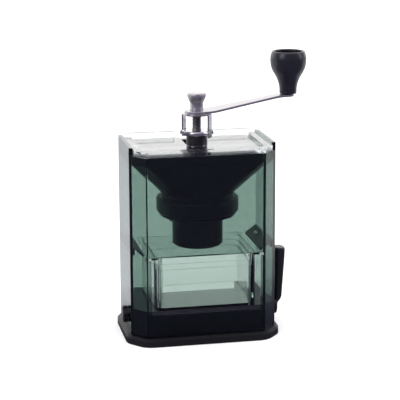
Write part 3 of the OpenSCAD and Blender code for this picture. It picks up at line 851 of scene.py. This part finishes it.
class MILL_OT_moulded(bpy.types.Operator):
    """Give the black moulded pieces their material and softened edges"""

    bl_idname = "mill.moulded"
    bl_label = "Black mouldings"

    def execute(self, context):
        for node in MOULDED:
            dress(node, context, context.scene.mill_sizes.edge_round)
        return {"FINISHED"}


class MILL_OT_clear(bpy.types.Operator):
    """Give the clear body, lid and drawer their acrylic, and the body polished edges"""

    bl_idname = "mill.clear"
    bl_label = "Clear mouldings"

    def execute(self, context):
        for node in CLEAR:
            dress(node, context, 0.0 if node in CRISP else context.scene.mill_sizes.clear_round)
        return {"FINISHED"}


class MILL_OT_works(bpy.types.Operator):
    """Give the burrs, bearings and suction lock their materials"""

    bl_idname = "mill.works"
    bl_label = "Works inside"

    def execute(self, context):
        for node in PLAIN:
            dress(node, context)
        return {"FINISHED"}


# ---------------------------------------------------------------- studio


def has_bounced(tree, path, depth):
    """One where the ray has bounced at least once in this way, such as Glossy Depth, else zero."""
    return add_node(tree, "ShaderNodeMath", {1: 0.5}, {0: path.outputs[depth]}, operation="GREATER_THAN")


def studio_floor(context):
    """White sprayed studio floor: a broad disc, so that its edge is never seen. Its front part has painted
    shade, a dim cool tone, where gloss reflects it.
    """
    bm = bmesh.new()
    radii = [0.0001, 0.3, 0.8, 2, 5, 14]
    skin_rings(bm, [ring(r, 0.0, count=64) for r in radii], cap_start=True)
    bmesh.ops.recalc_face_normals(bm, faces=bm.faces)
    mesh = bpy.data.meshes.new("studio_floor")
    bm.to_mesh(mesh)
    bm.free()
    floor = bpy.data.objects.new("studio_floor", mesh)
    context.scene.collection.objects.link(floor)
    material, tree = blank_material("floor_matt_white_painted_gloss_shade")
    path = add_node(tree, "ShaderNodeLightPath")
    bounced = has_bounced(tree, path, "Glossy Depth")
    spot = add_node(tree, "ShaderNodeTexCoord")
    axes = add_node(tree, "ShaderNodeSeparateXYZ", links={"Vector": spot.outputs["Object"]})
    in_front = add_node(
        tree, "ShaderNodeMapRange",
        {"From Min": FLOOR_TURNS[0], "From Max": FLOOR_TURNS[1], "To Min": 1.0, "To Max": 0.0},
        {"Value": axes.outputs["Y"]}, interpolation_type="SMOOTHSTEP")
    # Painted shade: the floor is darkened only where a glossy ray meets it in front of the mill
    painted_shade_mask = add_node(
        tree, "ShaderNodeMath", links={0: bounced.outputs[0], 1: in_front.outputs[0]}, operation="MULTIPLY")
    tone = add_node(
        tree, "ShaderNodeMix",
        {6: shade(context.scene.mill_colours.floor, 1), 7: FLOOR_PAINTED_SHADE_IN_GLOSS},
        {0: painted_shade_mask.outputs[0]}, data_type="RGBA")
    matt = add_node(tree, "ShaderNodeBsdfDiffuse", links={"Color": tone.outputs[2]})
    add_node(tree, "ShaderNodeOutputMaterial", links={"Surface": matt.outputs[0]})
    floor.data.materials.append(material)


def studio_world(context):
    """White all round to the eye and as soft light; reflections see a bright back and a dim cool front."""
    world = bpy.data.worlds.new("studio_world")
    context.scene.world = world
    world.use_nodes = True
    tree = world.node_tree
    tree.nodes.clear()
    way = add_node(tree, "ShaderNodeTexCoord")
    axes = add_node(tree, "ShaderNodeSeparateXYZ", links={"Vector": way.outputs["Generated"]})
    behind = add_node(
        tree, "ShaderNodeMapRange", {"From Min": 0.05, "From Max": 0.55, "To Min": 0.0, "To Max": 1.0},
        {"Value": axes.outputs["Y"]}, interpolation_type="SMOOTHSTEP")
    above = add_node(
        tree, "ShaderNodeMapRange", {"From Min": 0.45, "From Max": 0.85, "To Min": 0.0, "To Max": 0.45},
        {"Value": axes.outputs["Z"]}, interpolation_type="SMOOTHSTEP")
    panels = add_node(
        tree, "ShaderNodeMath", links={0: behind.outputs[0], 1: above.outputs[0]}, operation="MAXIMUM")
    glow = add_node(
        tree, "ShaderNodeMix", {6: FRONT_GLOW, 7: BACK_GLOW}, {0: panels.outputs[0]}, data_type="RGBA")
    seen = add_node(tree, "ShaderNodeBackground", {"Color": (1, 1, 1, 1), "Strength": SEEN_WHITE})
    soft = add_node(tree, "ShaderNodeBackground", {"Color": (1, 1, 1, 1), "Strength": SOFT_WHITE})
    mirrored = add_node(tree, "ShaderNodeBackground", links={"Color": glow.outputs[2]})
    path = add_node(tree, "ShaderNodeLightPath")
    scattered = has_bounced(tree, path, "Diffuse Depth")
    bounced = has_bounced(tree, path, "Glossy Depth")
    white = add_node(
        tree, "ShaderNodeMixShader", links={0: scattered.outputs[0], 1: seen.outputs[0], 2: soft.outputs[0]})
    mixed = add_node(
        tree, "ShaderNodeMixShader",
        links={0: bounced.outputs[0], 1: white.outputs[0], 2: mirrored.outputs[0]})
    add_node(tree, "ShaderNodeOutputWorld", links={"Surface": mixed.outputs[0]})


def softbox(context, name, place, aim, width, height, watts):
    """A rectangular soft light at place, aimed at a point."""
    data = bpy.data.lights.new(name, "AREA")
    data.shape = "RECTANGLE"
    data.size = width
    data.size_y = height
    data.energy = watts
    light = bpy.data.objects.new(name, data)
    context.scene.collection.objects.link(light)
    light.location = place
    light.rotation_euler = (Vector(aim) - Vector(place)).to_track_quat("-Z", "Y").to_euler()


class MILL_OT_studio(bpy.types.Operator):
    """Set the white floor, the soft lights and the camera"""

    bl_idname = "mill.studio"
    bl_label = "Studio"

    def execute(self, context):
        scene = context.scene
        setup = scene.mill_studio
        studio_floor(context)
        studio_world(context)
        for name, place, width, height, watts in SOFTBOXES:
            softbox(context, name, place, SOFTBOX_AIM, width, height, watts)
        data = bpy.data.cameras.new("camera")
        data.lens = setup.lens
        data.sensor_width = 36
        data.shift_x = setup.across
        data.shift_y = setup.rise
        data.clip_end = 50
        camera = bpy.data.objects.new("camera", data)
        scene.collection.objects.link(camera)
        turn = (Matrix.Rotation(-setup.heading, 4, "Z")
                @ Matrix.Rotation(math.pi / 2 - setup.pitch, 4, "X")
                @ Matrix.Rotation(setup.roll, 4, "Z"))
        place = Vector((-setup.distance * math.sin(setup.bearing), -setup.distance * math.cos(setup.bearing),
                        setup.height))
        camera.matrix_world = Matrix.Translation(place) @ turn
        scene.camera = camera
        scene.view_settings.view_transform = "Standard"
        return {"FINISHED"}


# ---------------------------------------------------------------- panel and registration

PIECE_OPERATORS = (
    MILL_OT_moulded,
    MILL_OT_clear,
    MILL_OT_works,
    MILL_OT_knob,
    MILL_OT_cap_nut,
    MILL_OT_arm,
    MILL_OT_spindle,
    MILL_OT_grind_nut,
    MILL_OT_stopper,
    MILL_OT_lever,
    MILL_OT_screws,
    MILL_OT_studio,
)


class MILL_PT_panel(bpy.types.Panel):
    """Lists the mill's pieces and settings"""

    bl_label = "Coffee Mill"
    bl_idname = "MILL_PT_panel"
    bl_space_type = "VIEW_3D"
    bl_region_type = "UI"
    bl_category = "Coffee Mill"

    def draw(self, context):
        layout = self.layout
        for operator in PIECE_OPERATORS:
            layout.operator(operator.bl_idname)
        for group in (context.scene.mill_sizes, context.scene.mill_colours, context.scene.mill_studio):
            box = layout.box()
            for name in group.bl_rna.properties.keys():
                if name not in ("rna_type", "name"):
                    box.prop(group, name)


SETTINGS = {"mill_sizes": MillSizes, "mill_colours": MillColours, "mill_studio": StudioSettings}


def register():
    """Registers the settings, the operators and the panel."""
    for name, group in SETTINGS.items():
        bpy.utils.register_class(group)
        setattr(bpy.types.Scene, name, PointerProperty(type=group))
    for made in PIECE_OPERATORS + (MILL_PT_panel,):
        bpy.utils.register_class(made)


def unregister():
    """Takes them all out again."""
    for made in reversed(PIECE_OPERATORS + (MILL_PT_panel,)):
        bpy.utils.unregister_class(made)
    for name, group in SETTINGS.items():
        delattr(bpy.types.Scene, name)
        bpy.utils.unregister_class(group)


def main():
    """Makes every piece and the stage."""
    register()
    for operator in PIECE_OPERATORS:
        getattr(bpy.ops.mill, operator.bl_idname.split(".")[1])()


if __name__ == "__main__":
    main()
